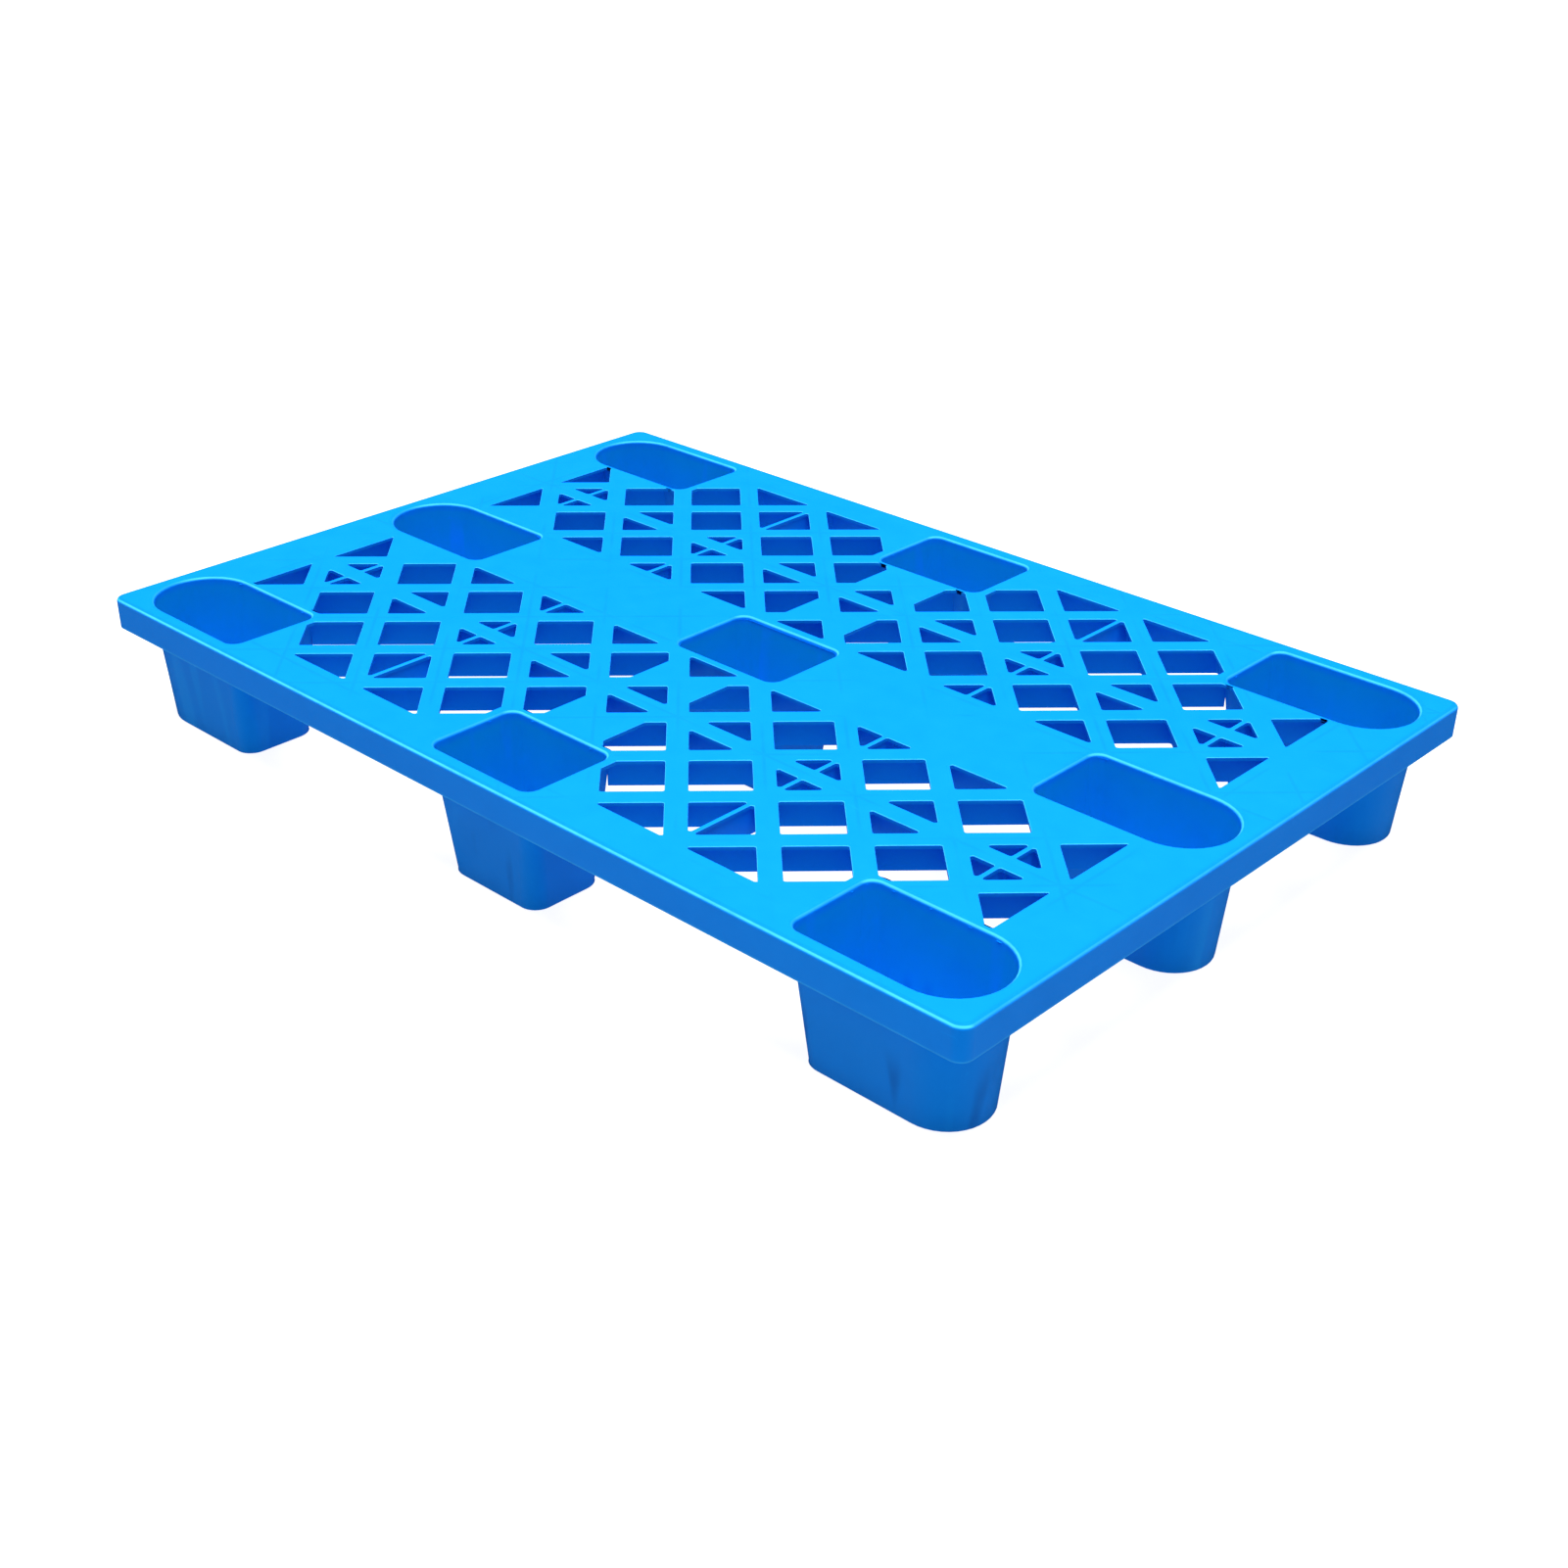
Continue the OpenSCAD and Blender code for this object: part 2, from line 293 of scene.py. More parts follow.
def quarter_hole(column, row, sizes, cups):
    """The convex pieces of the hole at one crossing gap, in the quarter at +X, +Y."""
    end_cup = cups["back_right"]
    mid_cup = cups["back_middle"]
    land_y = end_cup.centre.y - end_cup.half_y - sizes.land_y
    end_land = end_cup.centre.x - end_cup.half_x - sizes.land_x
    mid_land = mid_cup.half_x + sizes.land_x
    x, y = column * sizes.pitch, row * sizes.pitch
    beside_cup = x > end_land or x < mid_land
    if (column + row) % 2 == 0 or (y > land_y and beside_cup):
        return []
    if row == 1 and x > end_land:
        return []
    reach = sizes.pitch - sizes.bar_width / math.sqrt(2)
    pieces = [[(x + reach, y), (x, y + reach), (x - reach, y), (x, y - reach)]]
    limits = [
        ((1, 0), HALF_L - sizes.end_margin),
        ((0, 1), HALF_W - sizes.side_margin),
        ((0, -1), -BAND_Y),
    ]
    if column:
        limits.append(((-1, 0), -sizes.pad_half_width))
    if y > land_y:
        limits += [((1, 0), end_land), ((-1, 0), -mid_land)]
    elif beside_cup:
        limits.append(((0, 1), land_y))
    for normal, limit in limits:
        pieces = [clipped(p, normal, limit) for p in pieces]
    bar_y = sizes.long_bar_row * sizes.pitch
    pieces = split(pieces, (0, 1), bar_y, sizes.long_bar_width)
    if column and column % sizes.cross_rib_step == 0:
        pieces = split(pieces, (1, 0), x, sizes.cross_rib_width)
    return pieces


def split(pieces, normal, middle, width):
    """The pieces left on both sides of a straight bar."""
    back = (-normal[0], -normal[1])
    kept = []
    for p in pieces:
        kept.append(clipped(p, normal, middle - width / 2))
        kept.append(clipped(p, back, -(middle + width / 2)))
    return kept


def hole_polygons(sizes):
    """Every hole of the deck as an anticlockwise polygon, without slivers."""
    least_area = 40 * MM * MM
    cups = {c.name: c for c in all_cups(sizes)}
    columns = int(HALF_L / sizes.pitch) + 1
    rows = int(HALF_W / sizes.pitch) + 1
    found = []
    for column in range(columns):
        for row in range(1, rows):
            for piece in quarter_hole(column, row, sizes, cups):
                if len(piece) < 3 or abs(area_of(piece)) < least_area:
                    continue
                for sx in ((1,) if column == 0 else SIDES):
                    for sy in SIDES:
                        placed = [(sx * x, sy * y) for x, y in piece]
                        found.append(placed if area_of(placed) > 0 else placed[::-1])
    return found


def rib_lines(sizes):
    """Centre lines of every rib below the deck: a point and a direction."""
    lines = []
    reach = HALF_L + HALF_W
    count = int(reach / (2 * sizes.pitch))
    for k in range(-count, count + 1):
        for slope in SIDES:
            lines.append((Vector((2 * k * sizes.pitch, 0)), Vector((1, slope)).normalized()))
    lattice_x = HALF_L - sizes.end_margin
    lattice_y = HALF_W - sizes.side_margin
    middle_row = sizes.long_bar_row * sizes.pitch
    ys = [BAND_Y - sizes.rib_setback, middle_row, lattice_y + sizes.rib_setback]
    xs = [lattice_x + sizes.rib_setback]
    gap = sizes.cross_rib_step * sizes.pitch
    xs += [gap * k for k in range(1, int(INNER_X / gap) + 1)]
    for s in SIDES:
        lines += [(Vector((0, s * y)), Vector((1, 0))) for y in ys]
        lines += [(Vector((s * x, 0)), Vector((0, 1))) for x in xs]
    return lines


# ---------------------------------------------------------------- mesh making


class Moulding:
    """Collects closed surfaces with the true normal at every face corner."""

    def __init__(self, name):
        self.name = name
        self.points = []
        self.faces = []
        self.normals = []

    def ring(self, outline, into, z, side=1):
        """A ring of points, moved into the plastic from the outline. Side is -1 round a hole."""
        first = len(self.points)
        for p, n in outline:
            q = p - n * (side * into)
            self.points.append((q.x, q.y, z))
        return list(range(first, len(self.points)))

    def face(self, indices, normals):
        """Adds a face, turned to agree with its normals."""
        a, b, c = (Vector(self.points[i]) for i in indices[:3])
        flat = (b - a).cross(c - a)
        if len(indices) == 4:
            flat += (c - a).cross(Vector(self.points[indices[3]]) - a)
        if flat.dot(Vector(normals[0]) + Vector(normals[1])) < 0:
            indices, normals = indices[::-1], normals[::-1]
        self.faces.append(tuple(indices))
        self.normals.extend(normals)

    def band(self, ring_a, ring_b, normals_a, normals_b, closed=True):
        """Joins two rings of the same length with quads."""
        n = len(ring_a)
        for i in range(n if closed else n - 1):
            j = (i + 1) % n
            if coincide(self.points[ring_a[i]], self.points[ring_a[j]]) and coincide(
                self.points[ring_b[i]], self.points[ring_b[j]]
            ):
                continue
            self.face(
                [ring_a[i], ring_a[j], ring_b[j], ring_b[i]],
                [normals_a[i], normals_a[j], normals_b[j], normals_b[i]],
            )

    def wall(self, outline, profile, side=1, closed=True):
        """Sweeps a profile round an outline. The profile's rows are: how far into the plastic,
        height, and the tilt of the surface above and below the row."""
        rings = [self.ring(outline, into, z, side) for into, z, _, _ in profile]
        for k in range(len(profile) - 1):
            upper = [tilted(n, profile[k][3], side) for _, n in outline]
            lower = [tilted(n, profile[k + 1][2], side) for _, n in outline]
            self.band(rings[k], rings[k + 1], upper, lower, closed)
        return rings

    def cap(self, rings, up):
        """Fills the flat area that lies inside an odd number of the rings."""
        coords, loops, owners = [], [], []
        for ring in rings:
            loops.append(list(range(len(coords), len(coords) + len(ring))))
            coords += [Vector(self.points[i][:2]) for i in ring]
            owners += ring
        z = self.points[rings[0][0]][2]
        index, triangles = filled(coords, loops)
        names = []
        for v, source in index:
            if source:
                names.append(owners[source[0]])
            else:
                names.append(len(self.points))
                self.points.append((v.x, v.y, z))
        normal = Vector((0, 0, 1 if up else -1))
        for t in triangles:
            self.face([names[i] for i in t], [normal] * 3)

    def fan(self, ring):
        """Closes a level ring with a point in its middle, facing up."""
        n = len(ring)
        middle = sum((Vector(self.points[i]) for i in ring), Vector()) / n
        self.points.append(tuple(middle))
        normal = Vector((0, 0, 1))
        for i in range(n):
            self.face([ring[i], ring[(i + 1) % n], len(self.points) - 1], [normal] * 3)

    def finish(self, material, nodes, slot, cup_shading_tone=None, lined=0):
        """Makes the object, and hides the CAD nodes that it stands for. The first faces, as many
        as lined says, take the second material."""
        mesh = bpy.data.meshes.new(self.name)
        mesh.from_pydata(self.points, [], self.faces)
        mesh.polygons.foreach_set("use_smooth", [True] * len(mesh.polygons))
        mesh.normals_split_custom_set([tuple(n) for n in self.normals])
        mesh.validate()
        mesh.update()
        piece = bpy.data.objects.new(self.name, mesh)
        bpy.context.scene.collection.objects.link(piece)
        mesh.materials.append(material)
        if cup_shading_tone:
            mesh.materials.append(cup_shading_tone)
            inside = [1 if i < lined else 0 for i in range(len(mesh.polygons))]
            mesh.polygons.foreach_set("material_index", inside)
        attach(piece, ROOT)
        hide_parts(*nodes)
        return piece


def coincide(a, b):
    """Whether two points are the same but for rounding."""
    near = 1e-7
    return all(abs(p - q) < near for p, q in zip(a, b))


def filled(coords, loops):
    """Triangles of the flat area inside an odd number of the anticlockwise loops, and each
    corner with the numbers of the points that it came from."""
    inside_only, near = 1, 1e-8
    verts, _, triangles, sources, _, owners = delaunay_2d_cdt(
        coords, [], loops, inside_only, near)
    kept = [t for t, own in zip(triangles, owners) if len(own) % 2]
    return list(zip(verts, sources)), kept


def tilted(n, tilt, side):
    """A surface normal from an outline's normal, tilted up from level by the given angle."""
    flat = math.cos(tilt) * side
    return Vector((n.x * flat, n.y * flat, math.sin(tilt)))


UP = math.pi / 2
DOWN = -math.pi / 2


def round_over(z, radius, steps):
    """Profile rows of a rounded upper edge, from the flat top at height z down to the wall."""
    rows = []
    for k in range(steps + 1):
        a = UP - UP * k / steps
        rows.append((radius * (1 - math.cos(a)), z - radius * (1 - math.sin(a)), a, a))
    return rows


def round_under(z, radius, steps, into, wall_tilt=0.0):
    """Profile rows of a rounded lower edge, from the wall down to the flat bottom at height z."""
    rows = []
    for k in range(steps + 1):
        a = wall_tilt + (DOWN - wall_tilt) * k / steps
        rows.append((into + radius * (1 - math.cos(a)), z + radius * (1 + math.sin(a)), a, a))
    return rows


# ---------------------------------------------------------------- shader maths


class Sock:
    """A shader socket that can be used in a Python expression."""

    def __init__(self, tree, socket):
        self.tree, self.socket = tree, socket

    def _math(self, operation, *others, swap=False):
        values = [self, *others]
        if swap:
            values.reverse()
        return self.tree.node("ShaderNodeMath", {"operation": operation}, values)[0]

    def __add__(self, other):
        return self._math("ADD", other)

    def __radd__(self, other):
        return self._math("ADD", other)

    def __sub__(self, other):
        return self._math("SUBTRACT", other)

    def __rsub__(self, other):
        return self._math("SUBTRACT", other, swap=True)

    def __mul__(self, other):
        return self._math("MULTIPLY", other)

    def __rmul__(self, other):
        return self._math("MULTIPLY", other)

    def fold(self, scale):
        """Distance to the nearest multiple of twice the scale."""
        return self._math("PINGPONG", scale)

    def least(self, other):
        """The smaller of two values."""
        return self._math("MINIMUM", other)

    def most(self, other):
        """The larger of two values."""
        return self._math("MAXIMUM", other)

    def size(self):
        """The value without its sign."""
        return self._math("ABSOLUTE")

    def fade(self, start, end, low=0.0, high=1.0):
        """Goes smoothly from low at start to high at end."""
        settings = {"interpolation_type": "SMOOTHSTEP"}
        inputs = {
            "Value": self, "From Min": start, "From Max": end, "To Min": low, "To Max": high}
        return self.tree.node("ShaderNodeMapRange", settings, inputs)[0]


class Tree:
    """The node tree of one material."""

    def __init__(self, name):
        self.material = bpy.data.materials.new(name)
        self.material.use_nodes = True
        self.nodes = self.material.node_tree.nodes
        self.links = self.material.node_tree.links
        self.nodes.clear()

    def node(self, kind, settings=None, inputs=()):
        """Adds any node, with its settings made first, and returns its outputs."""
        made = self.nodes.new(kind)
        for key, value in (settings or {}).items():
            setattr(made, key, value)
        pairs = inputs.items() if isinstance(inputs, dict) else enumerate(inputs)
        for key, value in pairs:
            if isinstance(value, Sock):
                self.links.new(value.socket, made.inputs[key])
            else:
                made.inputs[key].default_value = value
        return Outputs(self, made)

    def noise(self, where, scale, detail=2.0, roughness=0.5, stretch=None):
        """A noise value round 0.5 at the given scale, in features per metre."""
        if stretch:
            where = self.node("ShaderNodeMapping", {}, {"Vector": where, "Scale": stretch})[0]
        inputs = {"Vector": where, "Scale": scale, "Detail": detail, "Roughness": roughness}
        return self.node("ShaderNodeTexNoise", {}, inputs)[0]

    def mix(self, factor, a, b):
        """Blends two colours."""
        mix_factor, colour_a, colour_b, colour_out = 0, 6, 7, 2
        inputs = {mix_factor: factor, colour_a: a, colour_b: b}
        return self.node("ShaderNodeMix", {"data_type": "RGBA"}, inputs)[colour_out]


class Outputs:
    """The output sockets of a node, by name or number."""

    def __init__(self, tree, made):
        self.tree, self.made = tree, made

    def __getitem__(self, key):
        return Sock(self.tree, self.made.outputs[key])


def opaque(colour):
    """A colour with full alpha."""
    return (colour[0], colour[1], colour[2], 1.0)


# Heights between which the marks of the plastic, the painted highlights and the painted
# tone inside the cups come and go.
WELDS_END, WELDS_FULL, FOOT_END = 75 * MM, 30 * MM, 30 * MM
HIGHLIGHT_END, HIGHLIGHT_FULL = 130 * MM, 134 * MM
SKIRT_HIGHLIGHT_END, SKIRT_HIGHLIGHT_FULL = RIM_Z + 3 * MM, RIM_Z + 1 * MM
CUP_SHADING_END, CUP_SHADING_FULL = TOP_Z - 2 * MM, TOP_Z - 12 * MM

SINK_HALF_WIDTH = 3.2 * MM
BUMP_STRENGTH, BUMP_DEPTH = 0.35, 0.12 * MM
PLASTIC_IOR, PLASTIC_SHINE = 1.5, 0.12
SHINE_TINT = (0.1, 0.8, 1.0, 1.0)


def plastic_material(name, sizes, finish, base, sink_lines=False, grain=1.0, streaks=False,
                     skirt=False, mouth=False):
    """Moulded polyethylene: fine grain, mottling, scuffs, and a painted highlight on rounded
    upper edges. A deck also has sink lines over its ribs, a leg streaks and weld lines and grows
    darker towards its bottom, and a rim painted shade and a painted highlight on its lower edge.
    In a cup's mouth the plastic goes over into the plastic recoloured for the light inside the
    cup."""
    tree = Tree(name)
    coords = tree.node("ShaderNodeTexCoord")
    where = coords["Object"]
    place = tree.node("ShaderNodeSeparateXYZ", {}, [where])
    x, y, z = place[0], place[1], place[2]
    across = tree.node("ShaderNodeSeparateXYZ", {}, [coords["Normal"]])
    facing, forward = across[2], across[1]
    clouds = tree.noise(where, scale=3.2, detail=3.0)
    mottle = tree.noise(where, scale=38.0, detail=4.0, roughness=0.6)
    fine = tree.noise(where, scale=900.0, detail=3.0, roughness=0.6)
    speck = tree.noise(where, scale=260.0, detail=2.0, roughness=0.7)
    pale = clouds.fade(0.35, 0.75) * 0.16 + mottle.fade(0.45, 0.8) * 0.1
    deep = mottle.fade(0.55, 0.2) * 0.1
    height = (fine * 0.25 + speck * 0.35) * grain
    rough = finish.roughness + (mottle - 0.5) * 0.16 + (speck - 0.5) * 0.1
    if streaks:
        bend = tree.noise(where, scale=9.0)
        fall = tree.noise(where, scale=30.0, detail=1.0, stretch=(1.0, 1.0, 0.04))
        upright = facing.size().fade(0.5, 0.2)
        welds = fall.fade(0.6, 0.68) * z.fade(WELDS_END, WELDS_FULL) * upright
        # Darker towards the bottom of the legs.
        foot = z.fade(FOOT_END, 0.0) * upright
        deep = deep + welds * 1.1 + foot * 0.3 + bend.fade(0.45, 0.7) * 0.15
        pale = pale + fall.fade(0.42, 0.32) * 0.6 * bend.fade(0.6, 0.4) * upright
        height = height + fall * 0.6 * upright
        rough = rough + (fall - 0.5) * 0.2 * upright
    if sink_lines:
        sink = near_rib(x, y, sizes).fade(0.0, SINK_HALF_WIDTH, 1.0, 0.0)
        patchy = tree.noise(where, scale=9.0, detail=3.0).fade(0.42, 0.6)
        sink = sink * patchy
        height = height - sink * 1.6
        deep = deep + sink * 0.3
        rough = rough + sink * 0.05
    scratch = tree.noise(where, scale=150.0, roughness=0.6, stretch=(0.1, 1.0, 1.0))
    wear = tree.noise(where, scale=5.0)
    scuff = scratch.fade(0.68, 0.76) * wear.fade(0.45, 0.65)
    pale = pale + scuff * 0.35
    rough = rough + scuff * 0.1
    height = height - scuff * 0.3
    # Painted highlight on the rounded upper edges near the top, strongest where they face the
    # front (-Y).
    edge = facing.fade(0.35, 0.6) * facing.fade(0.94, 0.8) * z.fade(HIGHLIGHT_END, HIGHLIGHT_FULL)
    edge = edge * forward.fade(0.1, -0.35, 0.25, 1.0)
    # On the rim: a painted highlight along the lower edge, and painted shade darkening the whole
    # rim.
    if skirt:
        edge = edge.most(z.fade(SKIRT_HIGHLIGHT_END, SKIRT_HIGHLIGHT_FULL) * 0.4)
        deep = deep + 0.3
    uneven = mottle.fade(0.25, 0.6, 0.72, 1.0)
    plain = opaque(base)
    # Inside a cup the colour goes over, with depth, into the plastic recoloured as painted light
    # and shade.
    if mouth:
        plain = tree.mix(z.fade(CUP_SHADING_END, CUP_SHADING_FULL), opaque(finish.plastic), plain)
    colour = tree.mix(deep.least(1.0), plain, opaque(finish.deep))
    colour = tree.mix(pale.least(1.0), colour, opaque(finish.pale))
    colour = tree.mix(edge * uneven, colour, opaque(finish.edge))
    bump = tree.node("ShaderNodeBump", {}, {
        "Strength": BUMP_STRENGTH, "Distance": BUMP_DEPTH, "Height": height})[0]
    surface = tree.node("ShaderNodeBsdfPrincipled", {}, {
        "Base Color": colour,
        "Roughness": rough,
        "Normal": bump,
        "IOR": PLASTIC_IOR,
        "Specular IOR Level": PLASTIC_SHINE,
        "Specular Tint": SHINE_TINT,
    })[0]
    tree.node("ShaderNodeOutputMaterial", {}, {"Surface": surface})
    return tree.material


def near_rib(x, y, sizes):
    """Distance from a point of the deck to the middle of the nearest rib below it."""
    slopes = (x + y).fold(sizes.pitch).least((x - y).fold(sizes.pitch)) * math.sqrt(0.5)
    lattice_x = HALF_L - sizes.end_margin + sizes.rib_setback
    lattice_y = HALF_W - sizes.side_margin + sizes.rib_setback
    rows = (BAND_Y - sizes.rib_setback, sizes.long_bar_row * sizes.pitch, lattice_y)
    nearest = slopes.least((x.size() - lattice_x).size())
    for row in rows:
        nearest = nearest.least((y.size() - row).size())
    return nearest


def material(name):
    """A material that the finishes operator has made."""
    return bpy.data.materials[name]


# ---------------------------------------------------------------- operators


class PALLET_OT_finishes(bpy.types.Operator):
    """Makes the plastic of the deck, the rim, the ribs, the legs and the insides of the cups"""

    bl_idname = "pallet.finishes"
    bl_label = "Finishes"

    def execute(self, context):
        sizes, finish = context.scene.pallet_sizes, context.scene.pallet_finish
        plastic_material("deck_plastic", sizes, finish, finish.plastic, sink_lines=True)
        # The rim takes painted shade all over and a painted highlight on its lower edge.
        plastic_material("rim_plastic", sizes, finish, finish.plastic, skirt=True)
        # The ribs take the web colour, the plastic painted lighter for the light from below.
        plastic_material("rib_plastic", sizes, finish, finish.web, grain=0.6)
        plastic_material("leg_plastic", sizes, finish, finish.plastic, streaks=True)
        # The insides of the cups take painted light and shade: the plastic recoloured, deeper
        # down, for the light inside them.
        plastic_material("cup_plastic", sizes, finish, finish.cup_shading_tone, streaks=True, mouth=True)
        return {"FINISHED"}


class PALLET_OT_deck(bpy.types.Operator):
    """Makes the skin of the deck, with its holes"""

    bl_idname = "pallet.deck"
    bl_label = "Deck"

    def execute(self, context):
        sizes = context.scene.pallet_sizes
        corner_steps, hole_steps, lip_steps = 6, 4, 4
        made = Moulding("deck_skin")
        tops, bottoms = [], []
        inner_corner = INNER_X - RUN_X
        limits = rectangle(-INNER_X, -INNER_Y, INNER_X, INNER_Y)
        edge = rounded(limits, inner_corner, corner_steps)
        plain = [(0, TOP_Z, UP, 0), (0, SKIN_Z, 0, DOWN)]
        rings = made.wall(edge, plain)
        tops.append(rings[0])
        bottoms.append(rings[-1])
        for cup in all_cups(sizes):
            collar = cup.outline(sizes.cup_lip, sizes.mouth_corner + sizes.cup_lip)
            rings = made.wall(collar, plain, side=-1)
            tops.append(rings[0])
            bottoms.append(rings[-1])
        lip = round_over(TOP_Z, sizes.hole_edge, lip_steps)
        lip = lip[:-1] + [(0, TOP_Z - sizes.hole_edge, 0, 0), (0, SKIN_Z, 0, DOWN)]
        for polygon in hole_polygons(sizes):
            outline = rounded(polygon, sizes.hole_corner, hole_steps)
            rings = made.wall(outline, lip, side=-1)
            tops.append(rings[0])
            bottoms.append(rings[-1])
        for x, y in gate_places(sizes):
            tops.append(self.gate_mark(made, x, y))
        made.cap(tops, up=True)
        made.cap(bottoms, up=False)
        nodes = ["deck_centre_band"] + [f"deck_grille_{f}_{s}" for f, s in QUARTERS]
        made.finish(material("deck_plastic"), nodes, "deck")
        return {"FINISHED"}

    def gate_mark(self, made, x, y):
        """A shallow dimple with a small nub, where the plastic came in. Both have rows with
        their share of the radius and of the depth."""
        radius, depth, nub = 5 * MM, 0.5 * MM, 1.6 * MM
        steps = 24
        dimple_rows = ((1.0, 0.0), (0.92, 0.3), (0.8, 0.85), (0.65, 1.0), (0.4, 1.0))
        nub_rows = ((1.0, 1.0), (0.8, 0.3), (0.4, 0.1))
        rows = [(radius * share, TOP_Z - depth * drop) for share, drop in dimple_rows]
        rows += [(nub * share, TOP_Z - depth * drop) for share, drop in nub_rows]
        rings = [made.ring(circle_outline(x, y, r, steps), 0, z) for r, z in rows]
        up = [Vector((0, 0, 1))] * steps
        for a, b in zip(rings, rings[1:]):
            made.band(a, b, up, up)
        made.fan(rings[-1])
        return rings[0]


def gate_places(sizes):
    """Centres of the gate marks, one in each quarter."""
    gate_column = 5
    x = gate_column * sizes.pitch
    y = sizes.long_bar_row * sizes.pitch
    return [(sx * x, sy * y) for sx in SIDES for sy in SIDES]


class PALLET_OT_rim(bpy.types.Operator):
    """Makes the four sides of the rim"""

    bl_idname = "pallet.rim"
    bl_label = "Rim"

    def execute(self, context):
        sizes = context.scene.pallet_sizes
        steps = 10
        corner = HALF_L - RUN_X
        run_y = HALF_W - corner
        straight = {
            "front": [(-RUN_X, -HALF_W, -UP), (RUN_X, -HALF_W, -UP)],
            "back": [(RUN_X, HALF_W, UP), (-RUN_X, HALF_W, UP)],
        }
        for name, stations in straight.items():
            outline = [
                (Vector((x, y)), Vector((math.cos(a), math.sin(a)))) for x, y, a in stations]
            self.side(name, outline, sizes)
        for name, sx in (("right", 1), ("left", -1)):
            outline = []
            for sy, first in ((-1, -UP), (1, 0.0)):
                centre = Vector((RUN_X, sy * run_y))
                for k in range(steps + 1):
                    a = first + UP * k / steps
                    n = Vector((math.cos(a), math.sin(a)))
                    outline.append((centre + n * corner, n))
            if sx < 0:
                outline = [(Vector((-p.x, -p.y)), Vector((-n.x, -n.y))) for p, n in outline]
            self.side(name, outline, sizes)
        return {"FINISHED"}

    def side(self, name, outline, sizes):
        """One side of the rim, swept along its stations and closed at its ends."""
        made = Moulding(f"rim_skirt_{name}")
        width = HALF_L - INNER_X
        lean = math.atan2(sizes.rim_lean, SKIN_Z - RIM_Z)
        upper_steps, lower_steps = 8, 4
        lower_edge = 1.2 * MM
        chamfer = lower_edge / 2
        inward = math.pi
        rows = [(width, TOP_Z, 0, UP)]
        rows += round_over(TOP_Z, sizes.rim_edge, upper_steps)
        rows += round_under(RIM_Z, lower_edge, lower_steps, sizes.rim_lean, -lean)
        rows += [
            (width - chamfer, RIM_Z, DOWN, DOWN),
            (width, RIM_Z + chamfer, inward, inward),
            (width, SKIN_Z, inward, inward),
        ]
        rings = made.wall(outline, rows, closed=False)
        inner = [tilted(n, inward, 1) for _, n in outline]
        made.band(rings[-1], rings[0], inner, inner, closed=False)
        for end in (0, -1):
            loop = [ring[end] for ring in rings]
            n = outline[end][1]
            along = Vector((-n.y, n.x, 0)) * (-1 if end == 0 else 1)
            self.end_cap(made, loop, along, outline[end])
        made.finish(material("rim_plastic"), [f"rim_{name}"], "rim")

    def end_cap(self, made, loop, along, station):
        """Closes the end of a run with a flat face."""
        p, n = station
        flat = []
        for i in loop:
            q = Vector(made.points[i])
            flat.append(Vector(((q.xy - p).dot(n), q.z)))
        if area_of(flat) < 0:
            flat, loop = flat[::-1], loop[::-1]
        index, triangles = filled(flat, [list(range(len(flat)))])
        for t in triangles:
            made.face([loop[index[i][1][0]] for i in t], [along] * 3)


class PALLET_OT_ribs(bpy.types.Operator):
    """Makes the web of ribs below the deck"""

    bl_idname = "pallet.ribs"
    bl_label = "Ribs"

    def execute(self, context):
        sizes = context.scene.pallet_sizes
        made = Moulding("rib_web")
        fillet = sizes.rib_fillet
        taper, lower_edge, cell_corner = 0.35 * MM, 0.7 * MM, 2.2 * MM
        steps = 4
        rows = []
        for k in range(steps + 1):
            a = DOWN + UP * k / steps
            rows.append((-fillet * (1 - math.cos(a)), SKIN_Z - fillet * (1 + math.sin(a)), a, a))
        rows[0] = (rows[0][0], rows[0][1], UP, DOWN)
        rows += round_under(RIB_Z, lower_edge, steps, taper)
        tops, bottoms = [], []
        for loop, side in self.loops(sizes):
            outline = rounded(loop, cell_corner, steps)
            rings = made.wall(outline, rows, side=side)
            tops.append(rings[0])
            bottoms.append(rings[-1])
        made.cap(tops, up=True)
        made.cap(bottoms, up=False)
        nodes = ["ribs_band_left", "ribs_band_right"] + [f"ribs_{f}_{s}" for f, s in QUARTERS]
        made.finish(material("rib_plastic"), nodes, "ribs")
        return {"FINISHED"}

    def loops(self, sizes):
        """The outline of the rib web and of every cell in it, as seen from above."""
        half = sizes.rib_thickness / 2
        reach = 2 * HALF_L
        buried, cup_gap, cup_steps = 2 * MM, 0.2 * MM, 6
        every_face, near = 0, 1e-7
        coords, faces = [], []

        def add(polygon):
            first = len(coords)
            coords.extend(Vector(p) for p in polygon)
            faces.append(list(range(first, len(coords))))

        far_x, far_y = INNER_X + buried, INNER_Y + buried
        limits = (((1, 0), far_x), ((-1, 0), far_x), ((0, 1), far_y), ((0, -1), far_y))
        for point, along in rib_lines(sizes):
            across = Vector((-along.y, along.x)) * half
            strip = [
                point - along * reach - across, point + along * reach - across,
                point + along * reach + across, point - along * reach + across,
            ]
            strip = [tuple(p) for p in strip]
            for normal, limit in limits:
                strip = clipped(strip, normal, limit)
            if len(strip) > 2:
                add(strip)
        strips = len(faces)
        for cup in all_cups(sizes):
            outline = cup.outline(cup_gap, sizes.mouth_corner, cup_steps)
            add([tuple(p) for p, _ in without_repeats(outline)])
        for gap in gaps_beside_rim(sizes):
            add(gap)
        verts, _, triangles, _, _, owners = delaunay_2d_cdt(
            coords, [], faces, every_face, near)
        kept = [t for t, own in zip(triangles, owners) if own and max(own) < strips]
        return region_loops(verts, kept)


